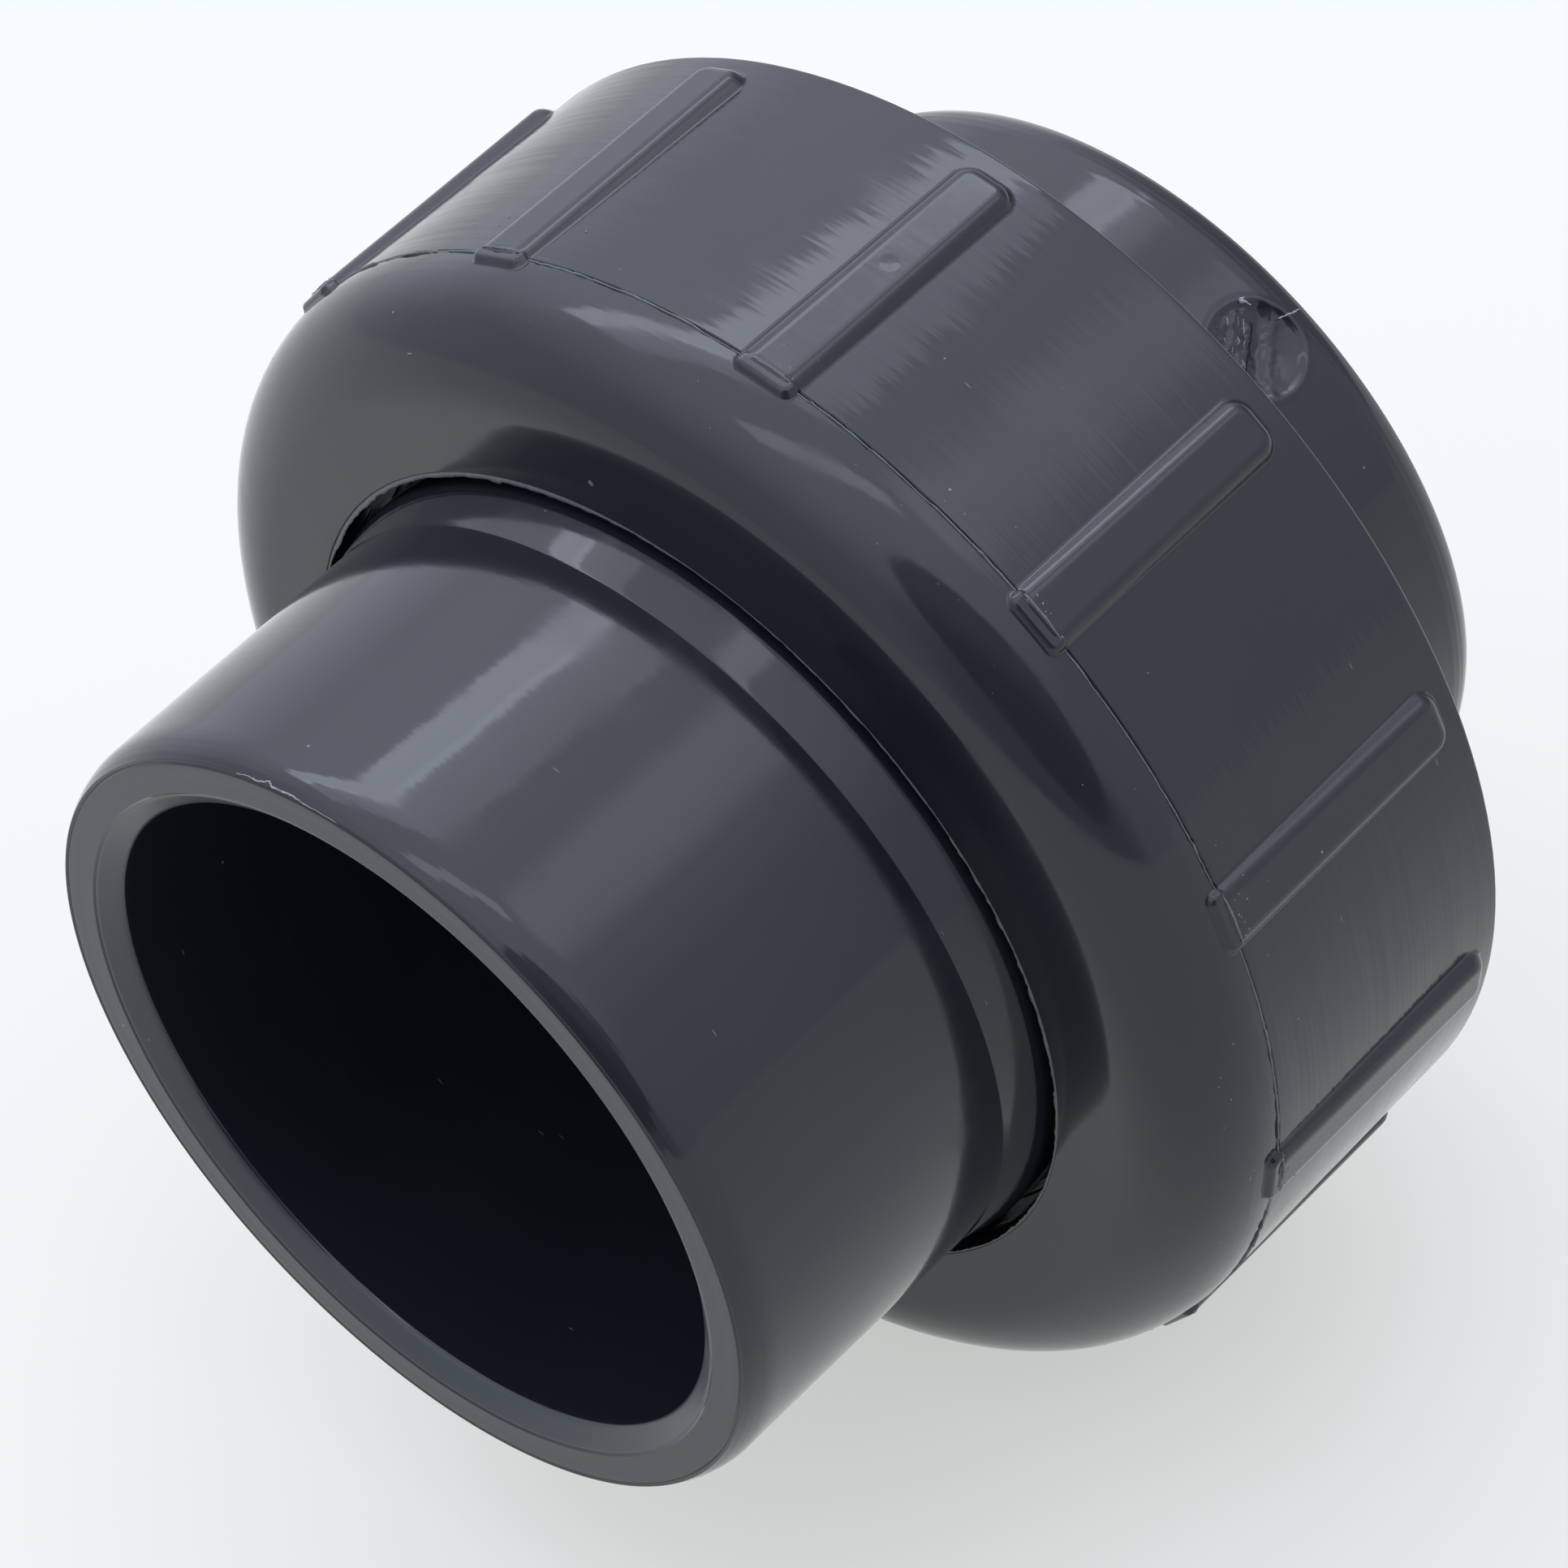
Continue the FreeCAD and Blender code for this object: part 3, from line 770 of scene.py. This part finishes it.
def pvc_material(name, roughness, marks, tones=PVC_TONES):
    """Glossy moulded PVC: slow colour drift, turning marks, orange peel, smudges, dust and scratches."""
    material, tree, shader, place = new_material(name)
    base = mixed(tree, noise(tree, place, (18, 18, 18), 3), *tones)
    base = mixed(tree, flecks(tree, place, (0, 0, 0), (4, 4, 4), 0.18, 0.035), base, DUST)
    base = mixed(tree, flecks(tree, place, (0.4, 0.9, 0.3), (0.5, 6, 6), 0.02, 0.07), base, DUST)
    tree.links.new(base, shader.inputs["Base Color"])

    cloudy = noise(tree, place, (7, 7, 7), 5)
    smudge = between(tree, cloudy, 0.45, 0.8, roughness, roughness + SMUDGE_ROUGHNESS)
    tree.links.new(smudge, shader.inputs["Roughness"])

    normal = marked_normal(tree, place, marks)
    normal = bump(tree, noise(tree, place, (0.18, 8, 8), 3), FINE_LINE_HEIGHT, normal)
    normal = bump(tree, noise(tree, place, (2.5, 2.5, 2.5), 2), ORANGE_PEEL_HEIGHT, normal)
    tree.links.new(normal, shader.inputs["Normal"])
    shader.inputs["IOR"].default_value = PVC_IOR
    return material


def cut_and_lighten_bevels(piece, material):
    """Give both pipe mouths' bevels a matt machined-cut finish whose lighter colour is painted light."""
    mesh = piece.data
    mesh.materials.append(material)
    centres = np.empty(len(mesh.polygons) * 3)
    mesh.polygons.foreach_get("center", centres)
    x, y, z = centres.reshape(-1, 3).T / MM
    s = x - MOUTH_X
    r = np.hypot(y, z - AXIS_Z)
    inside = np.minimum(s, LENGTH - s)
    # the bevel faces, which get the lighter tones of painted light
    cut = (inside < BEVEL_LENGTH) & (r < BEVEL_RADIUS + 0.05)
    mesh.polygons.foreach_set("material_index", cut.astype(np.int32))


def torn_material(name, tones):
    """Matt torn edge of the same plastic."""
    material, tree, shader, place = new_material(name)
    tone = noise(tree, place, (0.5, 0.5, 0.5), 3)
    tree.links.new(mixed(tree, tone, *tones), shader.inputs["Base Color"])
    shader.inputs["Roughness"].default_value = 0.55
    return material


def rubber_material():
    material, tree, shader, place = new_material("seal_rubber")
    tone = noise(tree, place, (1.5, 1.5, 1.5), 4)
    tree.links.new(mixed(tree, tone, *RUBBER_TONES), shader.inputs["Base Color"])
    grain = noise(tree, place, (0.3, 0.3, 0.3), 2)
    skin = node(tree, "ShaderNodeBump", {"Height": grain, "Distance": RUBBER_GRAIN_HEIGHT})
    tree.links.new(skin.outputs[0], shader.inputs["Normal"])
    shader.inputs["Roughness"].default_value = 0.42
    return material


# ---------------------------------------------------------------- stage

# angles in degrees, the distance in metres and the lens in millimetres. The aim is a point
# (x, y) at the axis's height, in millimetres.
CAMERA = {"azimuth": 219.15, "elevation": 42.08, "roll": 13.61, "distance": 0.5823, "lens": 167.7,
          "aim": (0.5, -0.4)}

# brightness of the white surroundings, from the horizon up to straight above
SKY = ((0.0, 0.83), (0.45, 0.98), (0.70, 1.42), (0.86, 1.68), (1.0, 1.75))
SKY_TINT = (0.93, 1.0, 1.17)
# brighter and darker parts: azimuth, elevation, degrees to the outer and the inner edge, factor
PATCHES = (
    (35, 25, 50, 10, 1.40),
    (85, 5, 42, 15, 0.5),
    (131, 52, 13, 3, 1.45),
    (215, 30, 27, 24.5, 0.31),
    (225, 2, 44, 23, 0.50),
)
# name, azimuth, elevation, size and brightness
SOFTBOXES = (
    ("softbox_far", 39, 56.5, (0.95, 0.16), 2.4),
    ("softbox_far_fade", 39, 66, (0.95, 0.24), 0.8),
    ("softbox_near", 219, 80, (0.75, 0.14), 1.3),
)
FLOOR_REACH = 3.0
FLOOR_TONE = (0.28, 0.27, 0.25, 1)
FLOOR_GLOW = (0.51, 0.54, 0.52, 1)


def direction(azimuth, elevation):
    """Unit vector to a place in the sky. Azimuth 0 is +Y and 90 is +X."""
    a, e = math.radians(azimuth), math.radians(elevation)
    return Vector((math.sin(a) * math.cos(e), math.cos(a) * math.cos(e), math.sin(e)))


def make_camera():
    data = bpy.data.cameras.new("camera")
    data.sensor_width = 36.0
    data.lens = CAMERA["lens"]
    data.clip_start = 0.05
    data.clip_end = 20.0
    camera = bpy.data.objects.new("camera", data)
    bpy.context.scene.collection.objects.link(camera)
    back = direction(CAMERA["azimuth"], CAMERA["elevation"])
    side = Vector((0, 0, 1)).cross(back).normalized()
    above = back.cross(side)
    roll = math.radians(CAMERA["roll"])
    up = above * math.cos(roll) + side * math.sin(roll)
    matrix = Matrix((up.cross(back), up, back)).transposed().to_4x4()
    matrix.translation = MM * Vector((*CAMERA["aim"], AXIS_Z)) + back * CAMERA["distance"]
    camera.matrix_world = matrix
    bpy.context.scene.camera = camera


def make_world():
    world = bpy.data.worlds.new("surroundings")
    bpy.context.scene.world = world
    world.use_nodes = True
    tree = world.node_tree
    towards = node(tree, "ShaderNodeTexCoord").outputs["Generated"]
    height = node(tree, "ShaderNodeSeparateXYZ", {0: towards}).outputs["Z"]
    ramp = node(tree, "ShaderNodeValToRGB", {0: height})
    stops = ramp.color_ramp.elements
    for place, _ in SKY[1:-1]:
        stops.new(place)
    for stop, (place, brightness) in zip(stops, SKY):
        stop.position = place
        stop.color = (*(brightness * tint for tint in SKY_TINT), 1)
    light = ramp.outputs["Color"]
    for azimuth, elevation, outer, inner, factor in PATCHES:
        nearness = vector_math(tree, "DOT_PRODUCT", {0: towards, 1: direction(azimuth, elevation)})["Value"]
        edges = (math.cos(math.radians(reach)) for reach in (outer, inner))
        strength = between(tree, nearness, *edges, 1, factor)
        light = vector_math(tree, "SCALE", {0: light, "Scale": strength})[0]
    tree.links.new(light, tree.nodes["Background"].inputs["Color"])


def softbox(name, azimuth, elevation, size, radiance):
    """A rectangular light one metre away. size is along the camera's side to side, then across it."""
    data = bpy.data.lights.new(name, "AREA")
    data.shape = "RECTANGLE"
    data.size, data.size_y = size
    data.energy = radiance * size[0] * size[1] * math.pi
    data.color = SKY_TINT
    light = bpy.data.objects.new(name, data)
    bpy.context.scene.collection.objects.link(light)
    back = direction(azimuth, elevation)
    side = direction(CAMERA["azimuth"] - 90, 0)
    side = (side - back * side.dot(back)).normalized()
    matrix = Matrix((side, back.cross(side), back)).transposed().to_4x4()
    matrix.translation = Vector((0, 0, AXIS_Z * MM)) + back
    light.matrix_world = matrix
    light.visible_camera = False


def make_floor():
    """A pale floor of milky sheet lit from below as well, so its shadows stay light."""
    mesh = bpy.data.meshes.new("floor")
    corners = [(x * FLOOR_REACH, y * FLOOR_REACH, 0) for x, y in ((-1, -1), (1, -1), (1, 1), (-1, 1))]
    mesh.from_pydata(corners, [], [(0, 1, 2, 3)])
    floor = bpy.data.objects.new("floor", mesh)
    bpy.context.scene.collection.objects.link(floor)
    material, _, shader, _ = new_material("floor")
    shader.inputs["Base Color"].default_value = FLOOR_TONE
    shader.inputs["Emission Color"].default_value = FLOOR_GLOW
    shader.inputs["Emission Strength"].default_value = 1.0
    shader.inputs["Roughness"].default_value = 0.9
    mesh.materials.append(material)


# ---------------------------------------------------------------- assembly

def fit(piece, body, material, slot, *nodes):
    """Give a piece its material and its body, and hide the CAD nodes it stands for."""
    piece.data.materials.append(material)
    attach(piece, body)
    if nodes:
        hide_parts(*nodes)


make_camera()
make_world()
for settings in SOFTBOXES:
    softbox(*settings)
make_floor()
bpy.context.scene.view_settings.view_transform = "Standard"

pvc_tail = pvc_material("pvc_tail", roughness=0.07, marks=0.010)
pvc_body = pvc_material("pvc_body", roughness=0.09, marks=0.012)
pvc_nut = pvc_material("pvc_nut", roughness=0.09, marks=0.042)
# the bevels' matt cut finish, its lighter colour painted light
pvc_cut_painted_light = pvc_material("pvc_cut_painted_light", roughness=0.30, marks=0.02, tones=CUT_AND_PAINTED_LIGHT_TONES)
pvc_torn = torn_material("pvc_torn", TORN_TONES)
pvc_frayed = torn_material("pvc_frayed", FRAYED_TONES)

tail = turned("tail_connector", [(tail_outline(), np.arange(0, 360, 1.5))], tail_relief)
fit(tail, "tail_piece", pvc_tail, "pvc_tail", "tail_piece")
cut_and_lighten_bevels(tail, pvc_cut_painted_light)
body = turned("threaded_connector", [(body_outline(), body_angles())], body_relief)
fit(body, "threaded_body", pvc_body, "pvc_body", "threaded_body")
cut_and_lighten_bevels(body, pvc_cut_painted_light)
outer_angles = nut_angles()
inner_angles = outer_angles[::3]
nut = turned("ribbed_nut", [(nut_outside(), outer_angles), (nut_inside(), inner_angles)], nut_relief)
fit(nut, "union_nut", pvc_nut, "pvc_nut", "union_nut")
fit(make_o_ring(), "threaded_body", rubber_material(), "seal_rubber", "o_ring")
fit(make_parting_flash(), "union_nut", pvc_torn, "pvc_nut")
fit(make_bore_burr(), "union_nut", pvc_torn, "pvc_nut")
fit(make_torn_nibs(), "union_nut", pvc_frayed, "pvc_nut")
fit(make_mouth_shred(), "tail_piece", pvc_frayed, "pvc_tail")
fit(make_gate_shreds(), "threaded_body", pvc_frayed, "pvc_body")
